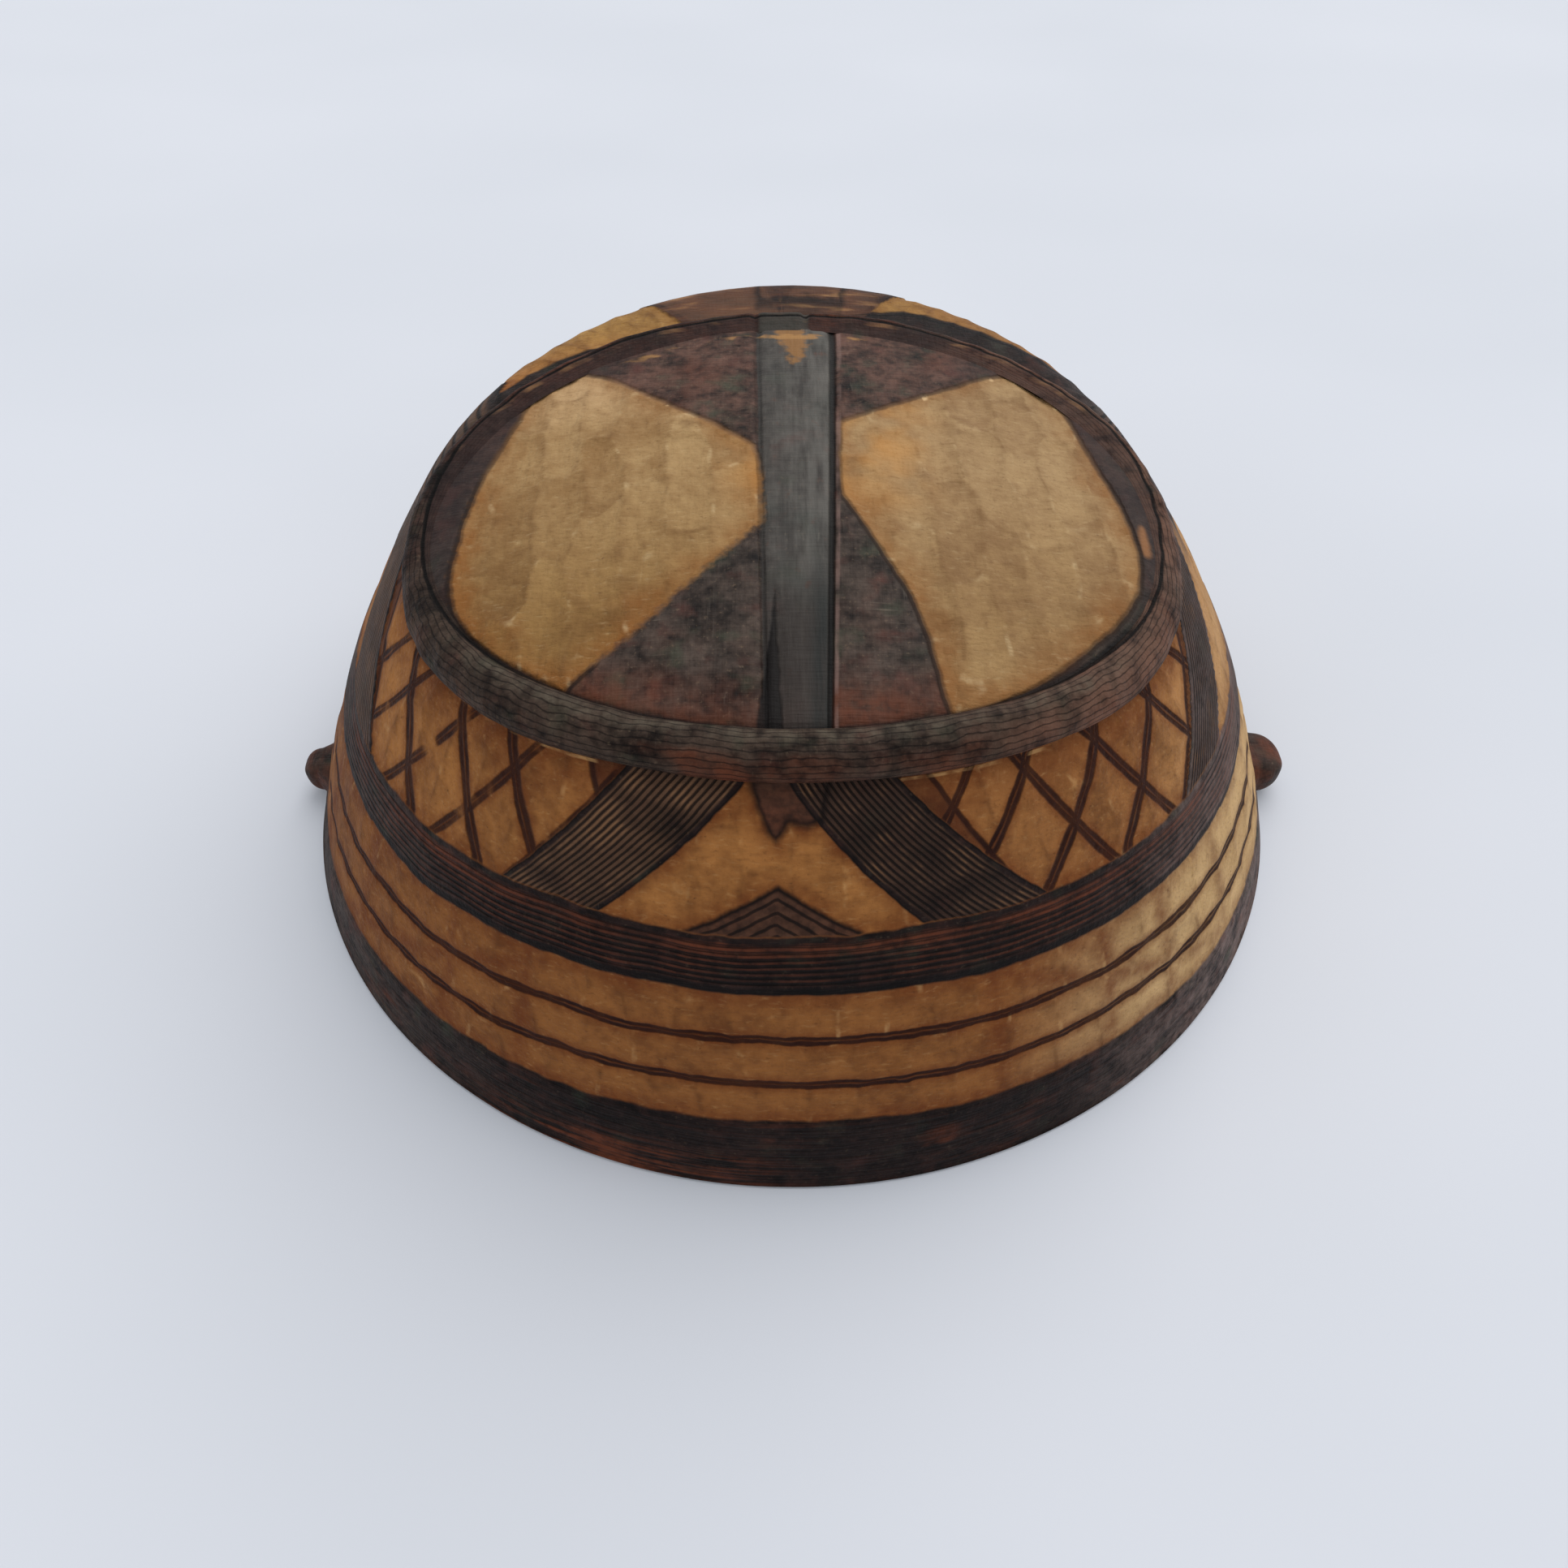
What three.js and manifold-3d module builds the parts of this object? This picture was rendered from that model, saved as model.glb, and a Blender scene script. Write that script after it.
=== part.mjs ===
// Oval wooden bowl, carved from one block and shown mouth down, in millimetres, +Z up.
// Long axis along X with a lug at each end, photographed side towards -Y.
// The rim lies flat on z = 0 and the origin is under the middle of the whole outline.

import * as THREE from 'three';
import { mergeVertices } from 'three/addons/utils/BufferGeometryUtils.js';
import Module from 'manifold-3d';

const wasm = await Module();
wasm.setup();

// Driving dimensions of the outside
const rimHalfLength = 120;
const bowlHeight = 96.8;
const crownRadius = 371;
const shoulderRadius = 14;
const crownEdgeAngle = THREE.MathUtils.degToRad(11);
const wallTopAngle = THREE.MathUtils.degToRad(57);
const rimEdgeRadius = 0.8;

// Depth of each half of the plan against its length, at the rim and at the height of the crown.
// The half behind the lugs is the fuller one.
const frontRimRatio = 0.935;
const frontCrownRatio = 0.992;
const backRimRatio = 0.96;
const backCrownRatio = 1.1;

// The upper wall draws in towards both ends of the long axis, more so at the right one
const leftTaperRatio = 0.03;
const rightTaperRatio = 0.075;
const taperPower = 4;

// Wall thickness along the rim, and of the floor at the middle
const rimLand = 8.5;
const floorThickness = 10;
const innerCrownRadius = 330;
const innerShoulderRadius = 22;

// Raised ring round the base, an egg in plan that is widest in front of its middle.
// The cord is wider at its front and back than at its sides, and lies lower at the back.
const ringHalfLength = 73.5;
const ringWidestY = -14.4;
const ringFrontDepth = 57.8;
const ringBackDepth = 69.4;
const ringSideHalfWidth = 3;
const ringEndHalfWidth = 4.2;
const ringFrontRise = 3;
const ringBackRise = 1.8;

// Lugs at the two ends of the long axis. Each reaches past the rim and is rooted inside it.
const leftLugOverhang = 3.5;
const rightLugOverhang = 5;
const leftLugCentreY = -6.8;
const rightLugCentreY = -4.5;
const lugRootDepth = 14;
const lugFootZ = 1.2;
const lugThickness = 11;
const lugEdgeRadius = 2.4;
const leftLugTipRadius = 4.5;
const leftLugRootHalfWidth = 14;
const rightLugTipRadius = 7.5;
const rightLugRootHalfWidth = 14;

// Clearance where one member is fitted against another
const seatGap = 0.3;

const turnSteps = 72;
const ringSteps = 72;
const crownSteps = 6;
const shoulderSteps = 9;
const wallSteps = 8;
const edgeSteps = 3;
const sectionSteps = 8;
const lugTipSteps = 10;
const lugEdgeSteps = 3;

// How closely the height over a point is settled, and the span that a slope is read over
const heightRounds = 8;
const slopeSpan = 0.1;

// Three tangent arcs as radius, height pairs: flat crown, tight shoulder, nearly straight wall.
// The wall's arc is the one that leaves the shoulder's end and reaches the rim.
function profileArcs(halfLength, height, crown, shoulder) {
  const crownRho = crown * Math.sin(crownEdgeAngle);
  const crownZ = height - crown * (1 - Math.cos(crownEdgeAngle));
  const shoulderRho = crownRho + shoulder * (Math.sin(wallTopAngle) - Math.sin(crownEdgeAngle));
  const shoulderZ = crownZ - shoulder * (Math.cos(crownEdgeAngle) - Math.cos(wallTopAngle));
  const chordAngle = Math.atan2(shoulderZ, halfLength - shoulderRho);
  const rimAngle = 2 * chordAngle - wallTopAngle;
  const wall = (halfLength - shoulderRho) / (Math.sin(rimAngle) - Math.sin(wallTopAngle));
  return [
    { radius: crown, from: 0, to: crownEdgeAngle, rho: 0, z: height, steps: crownSteps },
    {
      radius: shoulder,
      from: crownEdgeAngle,
      to: wallTopAngle,
      rho: crownRho,
      z: crownZ,
      steps: shoulderSteps,
    },
    { radius: wall, from: wallTopAngle, to: rimAngle, rho: shoulderRho, z: shoulderZ, steps: wallSteps },
  ];
}

function pointOnArc(arc, slope) {
  const rho = arc.rho + arc.radius * (Math.sin(slope) - Math.sin(arc.from));
  const z = arc.z - arc.radius * (Math.cos(arc.from) - Math.cos(slope));
  return new THREE.Vector2(rho, z);
}

function profilePoints(arcs) {
  const points = [pointOnArc(arcs[0], 0)];
  for (const arc of arcs) {
    for (let i = 1; i <= arc.steps; i += 1) {
      points.push(pointOnArc(arc, arc.from + (arc.to - arc.from) * i / arc.steps));
    }
  }
  return points;
}

const outerArcs = profileArcs(rimHalfLength, bowlHeight, crownRadius, shoulderRadius);
const innerArcs = profileArcs(
  rimHalfLength - rimLand,
  bowlHeight - floorThickness,
  innerCrownRadius,
  innerShoulderRadius,
);

function depthRatio(y, z) {
  const rimRatio = y < 0 ? frontRimRatio : backRimRatio;
  const crownRatio = y < 0 ? frontCrownRatio : backCrownRatio;
  return rimRatio + (crownRatio - rimRatio) * z / bowlHeight;
}

function lengthRatio(x, z) {
  const taperRatio = x < 0 ? leftTaperRatio : rightTaperRatio;
  return 1 - taperRatio * (z / bowlHeight) ** taperPower;
}

// Height of the outside over a point of the plan. Both ratios depend on that height,
// so the distance from the axis on the turned profile is settled in a few rounds.
function outsideHeight(x, y) {
  let z = bowlHeight;
  for (let round = 0; round < heightRounds; round += 1) {
    const rho = Math.hypot(x / lengthRatio(x, z), y / depthRatio(y, z));
    const arc = outerArcs.findLast((candidate) => rho >= candidate.rho);
    const slope = Math.asin(Math.sin(arc.from) + (rho - arc.rho) / arc.radius);
    z = pointOnArc(arc, slope).y;
  }
  return z;
}

function outsideNormal(x, y) {
  const half = slopeSpan / 2;
  const fallX = outsideHeight(x - half, y) - outsideHeight(x + half, y);
  const fallY = outsideHeight(x, y - half) - outsideHeight(x, y + half);
  return new THREE.Vector3(fallX, fallY, slopeSpan).normalize();
}

// Turns a profile, given from the top down, about Z, then draws the round plan into the oval
function ovalTurning(profile) {
  const geometry = new THREE.LatheGeometry(profile.reverse(), turnSteps);
  geometry.rotateX(Math.PI / 2);
  const position = geometry.attributes.position;
  for (let i = 0; i < position.count; i += 1) {
    const x = position.getX(i);
    const y = position.getY(i);
    const z = position.getZ(i);
    position.setXY(i, x * lengthRatio(x, z), y * depthRatio(y, z));
  }
  return closedBody(geometry);
}

// Welds a geometry's seams and leaves out the flat triangles at its poles
function closedBody(geometry) {
  geometry.deleteAttribute('normal');
  geometry.deleteAttribute('uv');
  const welded = mergeVertices(geometry, 1e-4);
  const corners = Array.from(welded.index.array);
  const kept = [];
  for (let i = 0; i < corners.length; i += 3) {
    const [a, b, c] = corners.slice(i, i + 3);
    if (a !== b && b !== c && c !== a) {
      kept.push(a, b, c);
    }
  }
  welded.setIndex(kept);
  return welded;
}

function toSolid(geometry) {
  return new wasm.Manifold(new wasm.Mesh({
    numProp: 3,
    vertProperties: new Float32Array(geometry.attributes.position.array),
    triVerts: new Uint32Array(geometry.index.array),
  }));
}

function fromSolid(solid) {
  const mesh = solid.getMesh();
  const geometry = new THREE.BufferGeometry();
  geometry.setAttribute('position', new THREE.BufferAttribute(mesh.vertProperties, 3));
  geometry.setIndex(new THREE.BufferAttribute(mesh.triVerts, 1));
  return geometry;
}

// Outside, rounded rim edge, flat rim land and hollow, as one closed profile
function shellGeometry() {
  const outside = profilePoints(outerArcs);
  outside.pop();
  const lean = rimEdgeRadius / Math.tan(outerArcs[2].to);
  const rimEdge = [];
  for (let i = 0; i <= edgeSteps; i += 1) {
    const turn = (Math.PI / 2) * i / edgeSteps;
    rimEdge.push(new THREE.Vector2(
      rimHalfLength - lean - rimEdgeRadius * (1 - Math.cos(turn)),
      rimEdgeRadius * (1 - Math.sin(turn)),
    ));
  }
  const hollow = profilePoints(innerArcs).reverse();
  return ovalTurning([...outside, ...rimEdge, ...hollow]);
}

// The ring's centre line lies on the outside, so it climbs towards the back of the bowl.
// Its section is a low round cord on a flat seat, square to the surface under it.
function ringGeometry() {
  const positions = [];
  const section = sectionSteps + 1;
  for (let i = 0; i < ringSteps; i += 1) {
    const turn = 2 * Math.PI * i / ringSteps;
    const x = ringHalfLength * Math.cos(turn);
    const halfDepth = Math.sin(turn) < 0 ? ringFrontDepth : ringBackDepth;
    const y = ringWidestY + halfDepth * Math.sin(turn);
    const z = outsideHeight(x, y);
    const normal = outsideNormal(x, y);
    const along = new THREE.Vector3(-ringHalfLength * Math.sin(turn), halfDepth * Math.cos(turn), 0);
    const across = new THREE.Vector3().crossVectors(along, normal).normalize();
    const widening = ringEndHalfWidth - ringSideHalfWidth;
    const halfWidth = ringSideHalfWidth + widening * Math.sin(turn) ** 2;
    const rise = ringFrontRise + (ringBackRise - ringFrontRise) * (1 + Math.sin(turn)) / 2;
    for (let j = 0; j <= sectionSteps; j += 1) {
      const round = Math.PI * j / sectionSteps;
      const point = new THREE.Vector3(x, y, z)
        .addScaledVector(across, halfWidth * Math.cos(round))
        .addScaledVector(normal, seatGap + rise * Math.sin(round));
      positions.push(point.x, point.y, point.z);
    }
  }
  const index = [];
  for (let i = 0; i < ringSteps; i += 1) {
    const next = (i + 1) % ringSteps;
    for (let j = 0; j < section; j += 1) {
      const up = (j + 1) % section;
      const a = i * section + j;
      const b = next * section + j;
      const c = next * section + up;
      const d = i * section + up;
      index.push(a, b, c, a, c, d);
    }
  }
  const geometry = new THREE.BufferGeometry();
  geometry.setAttribute('position', new THREE.Float32BufferAttribute(positions, 3));
  geometry.setIndex(index);
  return geometry;
}

// A tab along +X with straight flanks that meet its round tip
function lugTab(overhang, centreY, tipRadius, rootHalfWidth) {
  const edge = lugEdgeRadius;
  const tipX = rimHalfLength + overhang - tipRadius;
  const rootX = rimHalfLength - lugRootDepth;
  const toRoot = Math.atan2(rootHalfWidth, rootX - tipX);
  const distance = Math.hypot(rootHalfWidth, rootX - tipX);
  const touch = toRoot - Math.acos(tipRadius / distance);
  const outline = new THREE.Shape();
  outline.moveTo(rootX, -rootHalfWidth + edge);
  outline.absarc(tipX, 0, tipRadius - edge, -touch, touch, false);
  outline.lineTo(rootX, rootHalfWidth - edge);
  outline.closePath();
  const tab = new THREE.ExtrudeGeometry(outline, {
    depth: lugThickness - 2 * edge,
    bevelThickness: edge,
    bevelSize: edge,
    bevelSegments: lugEdgeSteps,
    curveSegments: lugTipSteps,
  });
  tab.translate(0, centreY, lugFootZ + edge);
  return toSolid(closedBody(tab));
}

// The outside of the bowl as a solid, larger by the seat gap, that the lugs are hollowed with
function seatingBowl() {
  const arcs = profileArcs(
    rimHalfLength + seatGap,
    bowlHeight + seatGap,
    crownRadius,
    shoulderRadius,
  );
  return toSolid(ovalTurning([...profilePoints(arcs), new THREE.Vector2(0, 0)]));
}

function rightLugGeometry() {
  const tab = lugTab(rightLugOverhang, rightLugCentreY, rightLugTipRadius, rightLugRootHalfWidth);
  return fromSolid(tab.subtract(seatingBowl()));
}

function leftLugGeometry() {
  const tab = lugTab(leftLugOverhang, leftLugCentreY, leftLugTipRadius, leftLugRootHalfWidth);
  return fromSolid(tab.mirror([1, 0, 0]).subtract(seatingBowl()));
}

const paleWood = new THREE.MeshStandardMaterial({ color: 0xa98659, roughness: 0.6, metalness: 0 });
const burntWood = new THREE.MeshStandardMaterial({ color: 0x2e2626, roughness: 0.5, metalness: 0 });

function member(name, geometry, material) {
  const mesh = new THREE.Mesh(geometry, material.clone());
  mesh.name = name;
  return mesh;
}

const group = new THREE.Group();
group.position.x = (leftLugOverhang - rightLugOverhang) / 2;
group.position.y = rimHalfLength * (frontRimRatio - backRimRatio) / 2;
group.add(member('bowl_shell', shellGeometry(), paleWood));
group.add(member('base_ring', ringGeometry(), burntWood));
group.add(member('left_lug', leftLugGeometry(), burntWood));
group.add(member('right_lug', rightLugGeometry(), burntWood));

export default group;
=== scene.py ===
import math
import bpy
import numpy as np
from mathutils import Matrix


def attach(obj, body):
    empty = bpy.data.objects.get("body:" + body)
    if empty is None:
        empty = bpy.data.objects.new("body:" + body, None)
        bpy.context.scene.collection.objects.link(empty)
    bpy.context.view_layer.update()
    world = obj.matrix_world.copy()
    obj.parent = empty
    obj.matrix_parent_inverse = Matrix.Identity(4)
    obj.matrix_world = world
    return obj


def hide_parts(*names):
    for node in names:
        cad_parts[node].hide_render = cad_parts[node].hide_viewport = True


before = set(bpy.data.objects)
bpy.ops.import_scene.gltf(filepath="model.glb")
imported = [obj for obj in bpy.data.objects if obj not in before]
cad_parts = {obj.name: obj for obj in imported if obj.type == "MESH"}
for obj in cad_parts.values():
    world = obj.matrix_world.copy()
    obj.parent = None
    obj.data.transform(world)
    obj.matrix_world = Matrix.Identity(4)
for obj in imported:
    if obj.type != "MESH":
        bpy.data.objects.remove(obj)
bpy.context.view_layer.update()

# The sheet that the bowl rests on, and soft daylight. A wide dome of even light does most of the work,
# and one broad lamp high at the right and behind gives the base its brightness and the front its shade.
floor_mesh = bpy.data.meshes.new("pale_sheet")
floor_reach = 3.0
floor_corners = [(x * floor_reach, y * floor_reach, 0) for x, y in ((-1, -1), (1, -1), (1, 1), (-1, 1))]
floor_mesh.from_pydata(floor_corners, [], [(0, 1, 2, 3)])
pale_sheet = bpy.data.objects.new("pale_sheet", floor_mesh)
bpy.context.collection.objects.link(pale_sheet)


def painted(red, green, blue):
    """A colour as a painter reads it off a screen, 0 to 255 each, made linear with the sRGB curve."""
    seen = np.array([red, green, blue]) / 255
    linear = np.where(seen <= 0.04045, seen / 12.92, ((seen + 0.055) / 1.055) ** 2.4)
    return (*linear.tolist(), 1.0)


class Field:
    """A number that changes over a surface: one output socket, with Python's arithmetic on it."""

    def __init__(self, finish, socket):
        self.finish, self.socket = finish, socket

    def math(self, operation, *others):
        wanted = [self, *others]
        return self.finish.node("ShaderNodeMath", {"operation": operation}, dict(enumerate(wanted)))

    def __add__(self, other):
        return self.math("ADD", other)

    def __sub__(self, other):
        return self.math("SUBTRACT", other)

    def __rsub__(self, other):
        return self.math("MULTIPLY", -1) + other

    def __mul__(self, other):
        return self.math("MULTIPLY", other)

    def __truediv__(self, other):
        return self.math("DIVIDE", other)

    def __abs__(self):
        return self.math("ABSOLUTE")

    def __or__(self, other):
        return self.math("MAXIMUM", other)

    def __and__(self, other):
        return self.math("MINIMUM", other)

    __radd__, __rmul__, __ror__, __rand__ = __add__, __mul__, __or__, __and__

    def from_nearest_whole(self):
        """How far the number is from the nearest whole number, 0 to 0.5."""
        return abs(self.math("WRAP", 0.5, -0.5))

    def rise(self, start, end):
        """0 up to start, 1 from end, smooth between. With start above end it falls instead."""
        settings = {"interpolation_type": "SMOOTHSTEP"}
        if start < end:
            return self.finish.node("ShaderNodeMapRange", settings, {0: self, 1: start, 2: end})
        return self.finish.node("ShaderNodeMapRange", settings, {0: self, 1: end, 2: start, 3: 1.0, 4: 0.0})


class Finish:
    """One material's nodes, made as they are asked for and ending in one Principled shader."""

    def __init__(self, name):
        self.material = bpy.data.materials.new(name)
        self.material.use_nodes = True
        self.tree = self.material.node_tree
        self.shader = self.tree.nodes["Principled BSDF"]
        self.place = self.node("ShaderNodeTexCoord", {}, {}, "Object").socket

    def node(self, kind, settings, inputs, output=0):
        made = self.tree.nodes.new(kind)
        for key, value in settings.items():
            setattr(made, key, value)
        for key, value in inputs.items():
            if isinstance(value, Field):
                self.tree.links.new(value.socket, made.inputs[key])
            elif isinstance(value, bpy.types.NodeSocket):
                self.tree.links.new(value, made.inputs[key])
            else:
                made.inputs[key].default_value = value
        return Field(self, made.outputs[output])

    def measured(self, name):
        """A number that the mesh carries at its points."""
        return self.node("ShaderNodeAttribute", {"attribute_name": name}, {}, "Fac")

    def along(self, axis):
        """Where the point lies along x, y or z (0, 1 or 2), in mm."""
        return self.node("ShaderNodeSeparateXYZ", {}, {"Vector": self.place}, axis) * 1000

    def grown(self, sizes, detail=3.0, shift=0.0):
        """Noise about -1 to 1 whose lumps are as long as the sizes, in mm along x, y and z."""
        scale = tuple(1000 / size for size in sizes)
        spread = {"Vector": self.place, "Location": (shift,) * 3, "Scale": scale}
        at = self.node("ShaderNodeMapping", {}, spread)
        noise = self.node("ShaderNodeTexNoise", {}, {"Vector": at, "Scale": 1.0, "Detail": detail})
        return (noise - 0.5) * 2.6

    def mixed(self, amount, under, over):
        """The under colour where amount is 0, the over colour where it is 1."""
        settings = {"data_type": "RGBA"}
        return self.node("ShaderNodeMix", settings, {0: amount, 6: under, 7: over}, 2)

    def layered(self, colour, layers):
        """Lays the tones over a colour one after another, each where its amount is 1."""
        for amount, tone in layers:
            colour = self.mixed(amount, colour, tone)
        return colour

    def close(self, colour, roughness, relief, shine=0.5, depth=0.001):
        """Joins colour, roughness and relief to the shader. Depth is what 1 of the relief stands for, in
        metres, and shine is the same all over."""
        self.shader.inputs["Specular IOR Level"].default_value = shine
        bump = self.node("ShaderNodeBump", {}, {"Height": relief, "Distance": depth, "Strength": 1.0})
        for key, value in (("Base Color", colour), ("Roughness", roughness), ("Normal", bump)):
            self.tree.links.new(value.socket, self.shader.inputs[key])
        return self.material


sheet_finish = Finish("pale_sheet")
# The sheet's lighter and darker patches are painted shade of its soft folds; the same noise also bumps it and
# varies its roughness.
folds = sheet_finish.grown((240, 160, 200), 2.0)
sheet_finish.close(
    sheet_finish.mixed(folds.rise(-1.2, 1.2), painted(219, 222, 230), painted(228, 230, 238)),
    folds * 0.02 + 0.9, folds, depth=0.0004)
floor_mesh.materials.append(sheet_finish.material)

scene = bpy.context.scene
scene.view_settings.view_transform = "Standard"
sky = bpy.data.worlds.new("daylight")
scene.world = sky
sky.use_nodes = True
sky_nodes, sky_links = sky.node_tree.nodes, sky.node_tree.links
even = sky_nodes["Background"]
even.inputs["Color"].default_value = (0.93, 0.97, 1.0, 1)
even.inputs["Strength"].default_value = 0.66
seen_sky = sky_nodes.new("ShaderNodeBackground")
seen_sky.inputs["Color"].default_value = painted(222, 226, 235)
ray = sky_nodes.new("ShaderNodeLightPath")
choose = sky_nodes.new("ShaderNodeMixShader")
sky_links.new(ray.outputs["Is Camera Ray"], choose.inputs[0])
sky_links.new(even.outputs[0], choose.inputs[1])
sky_links.new(seen_sky.outputs[0], choose.inputs[2])
sky_links.new(choose.outputs[0], sky_nodes["World Output"].inputs["Surface"])

lamp = bpy.data.objects.new("broad_lamp", bpy.data.lights.new("broad_lamp", "SUN"))
lamp.data.energy = 1.4
lamp.data.angle = math.radians(64)
lamp.data.color = (1.0, 0.985, 0.96)
lamp.rotation_euler = (math.radians(-28), math.radians(26), 0)
bpy.context.collection.objects.link(lamp)

camera = bpy.data.objects.new("camera", bpy.data.cameras.new("camera"))
camera.data.lens = 27.0
camera.data.sensor_width = 36.0
camera.data.clip_start = 0.01
camera.location = (-0.002646, -0.199932, 0.237228)
camera.rotation_euler = (math.radians(39), 0, 0)
bpy.context.collection.objects.link(camera)
scene.camera = camera

# The outside wall, from the raised ring down to the rim, cut round with a gouge from one block of pale wood.
# Bands, diagonal bars and crossed lines are scored with a knife and burnt dark with a hot iron.
# Lengths are in mm, and the bowl is worked out about its own axis, which stands at CENTRE.
HEIGHT = 96.8
HALF_LENGTH = 120.0
CENTRE = np.array([-0.75, -1.5, 0.0])
LAND_SPLIT = HALF_LENGTH - 4.5
EDGE_RADIUS = 0.8
EDGE_IN = 0.25

# The ring's middle line seen from above: half its length, how deep it is in front and behind, and the
# place of its widest point. The wall and the base both run in a little way under the ring.
RING_HALF = 73.5
RING_FRONT = 57.8
RING_BACK = 69.4
RING_Y = -14.4
UNDER_RING = 0.8

# Heights on the wall: the top of the dark band at the rim, the two scored lines, and the foot and head of
# the dark band above them. All dip towards the two ends of the bowl.
RIM_BAND = 20.0
LINES = (29.3, 39.7)
BAND_FOOT = 50.0
BAND_HEAD = 62.0
DIP_AT_ENDS = 9.0
MM_PER_DEGREE = 1.9
ROUND_THE_WALL = 360 * MM_PER_DEGREE


def turned_profile(half_length, height, crown, shoulder, count=1500):
    """Half the bowl's section from the crown down, as distance from the axis, height and length so far.
    A flat crown arc turns to 11 degrees, a tight shoulder arc to 57 degrees, and the wall's arc is the one
    that goes on from there to the rim."""
    edge, top = math.radians(11), math.radians(57)
    rho_1 = crown * math.sin(edge)
    z_1 = height - crown * (1 - math.cos(edge))
    rho_2 = rho_1 + shoulder * (math.sin(top) - math.sin(edge))
    z_2 = z_1 - shoulder * (math.cos(edge) - math.cos(top))
    rim = 2 * math.atan2(z_2, half_length - rho_2) - top
    wall = (half_length - rho_2) / (math.sin(rim) - math.sin(top))
    arcs = ((crown, 0, edge, 0, height), (shoulder, edge, top, rho_1, z_1), (wall, top, rim, rho_2, z_2))
    turns = [np.linspace(a, b, count, endpoint=b == rim) for _, a, b, _, _ in arcs]
    rho = np.concatenate([r0 + r * (np.sin(t) - math.sin(a)) for (r, a, _, r0, _), t in zip(arcs, turns)])
    z = np.concatenate([z0 - r * (math.cos(a) - np.cos(t)) for (r, a, _, _, z0), t in zip(arcs, turns)])
    length = np.concatenate([[0], np.cumsum(np.hypot(np.diff(rho), np.diff(z)))])
    return rho, z, length


OUT_RHO, OUT_Z, OUT_LENGTH = turned_profile(HALF_LENGTH, HEIGHT, crown=371.0, shoulder=14.0)


def oval_ratios(x, y, z):
    """How much the oval is shorter than the round form along x and y. The upper wall draws in at both ends
    with the fourth power of height, and the two halves of the plan have depths of their own."""
    k = np.clip(z / HEIGHT, 0, 1)
    along_x = 1 - np.where(x < 0, 0.03, 0.075) * k ** 4
    along_y = np.where(y < 0, 0.935 + 0.057 * k, 0.96 + 0.14 * k)
    return along_x, along_y


def turned_points(theta, rho, z):
    """Points of the oval form at a turn about the axis, on the round form's distance and height."""
    x, y = rho * np.cos(theta), rho * np.sin(theta)
    along_x, along_y = oval_ratios(x, y, z)
    return np.stack([x * along_x, y * along_y, z + 0 * x], -1)


def height_over(x, y):
    """Height of the outside over the plan: the profile's height at the point's distance, once the oval is
    taken out. The oval depends on the height, so ten rounds settle it."""
    z = np.full(np.shape(x), HEIGHT)
    for _ in range(10):
        along_x, along_y = oval_ratios(x, y, z)
        z = np.interp(np.hypot(x / along_x, y / along_y), OUT_RHO, OUT_Z)
    return z


def ring_depth(v):
    """How deep the ring's half ellipse is on that side of its widest point."""
    return np.where(v < 0, RING_FRONT, RING_BACK)


def from_ring(x, y):
    """Distance in plan from the ring's middle line, minus inside it. The line is an egg: half an ellipse in
    front and a deeper one behind, which meet at its widest point. The distance is how far the ellipse's
    level is from 1, over how steeply the level rises."""
    v = y - RING_Y
    deep = ring_depth(v)
    level = np.hypot(x / RING_HALF, v / deep)
    steep = np.hypot(x / RING_HALF ** 2, v / deep ** 2) / np.maximum(level, 1e-6)
    return (level - 1) / np.maximum(steep, 1e-3)


def ring_half_width(x, y):
    """3 mm at the sides to 4.2 mm at the front and back."""
    v = y - RING_Y
    return 3 + 1.2 * v ** 2 / np.maximum(x ** 2 + v ** 2, 1e-6)


def groove_at(distance, depth, half_width):
    """A rounded groove: its depth in the middle, falling off to the sides as a bell curve."""
    return depth * np.exp(-(distance / half_width) ** 2)


def waver(points, size, seed):
    """The unsteadiness of a hand, about -1 to 1: twenty waves of one length, each its own way and start."""
    chance = np.random.default_rng(seed)
    ways = chance.normal(size=(20, 3))
    ways *= 2 * np.pi / size / np.linalg.norm(ways, axis=1)[:, None]
    starts = chance.uniform(0, 2 * np.pi, 20)
    total = np.zeros(points.shape[:-1])
    for way, start in zip(ways, starts):
        total += np.sin(points @ way + start)
    return total / 6


def scooped(across, along, width, length, period, reach, seed):
    """Overlapping gouge scoops. One scoop is 1 - u^2 - v^6 deep, u and v being the distances from its middle
    over its half width and half length, and they stand in columns, each a little out of line. The deepest
    scoop counts. Gives its depth, how much deeper it is than the next one, which is 0 on the crest between
    the two, and a tone of its own from 0 to 1."""
    chance = np.random.default_rng(seed)
    columns, rows = round(period / width), math.ceil((reach[1] - reach[0]) / length) + 1
    first = np.full(np.broadcast(across, along).shape, -0.2)
    second, tone = first.copy(), first * 0
    for column in range(columns):
        for row in range(rows):
            middle = (column + 0.5 + chance.uniform(-0.1, 0.1)) * width
            centre = reach[0] + (row + 0.5 * (column % 2) + chance.uniform(-0.25, 0.25)) * length
            u = ((across - middle + period / 2) % period - period / 2) / (width * chance.uniform(0.62, 0.72))
            v = (along - centre) / (length * chance.uniform(0.55, 0.72))
            depth = (1 - u * u - v ** 6) * chance.uniform(0.85, 1.0)
            tone = np.where(depth > first, chance.uniform(), tone)
            second = np.maximum(second, np.minimum(first, depth))
            first = np.maximum(first, depth)
    return np.clip(first, 0, 1), first - second, tone


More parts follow.
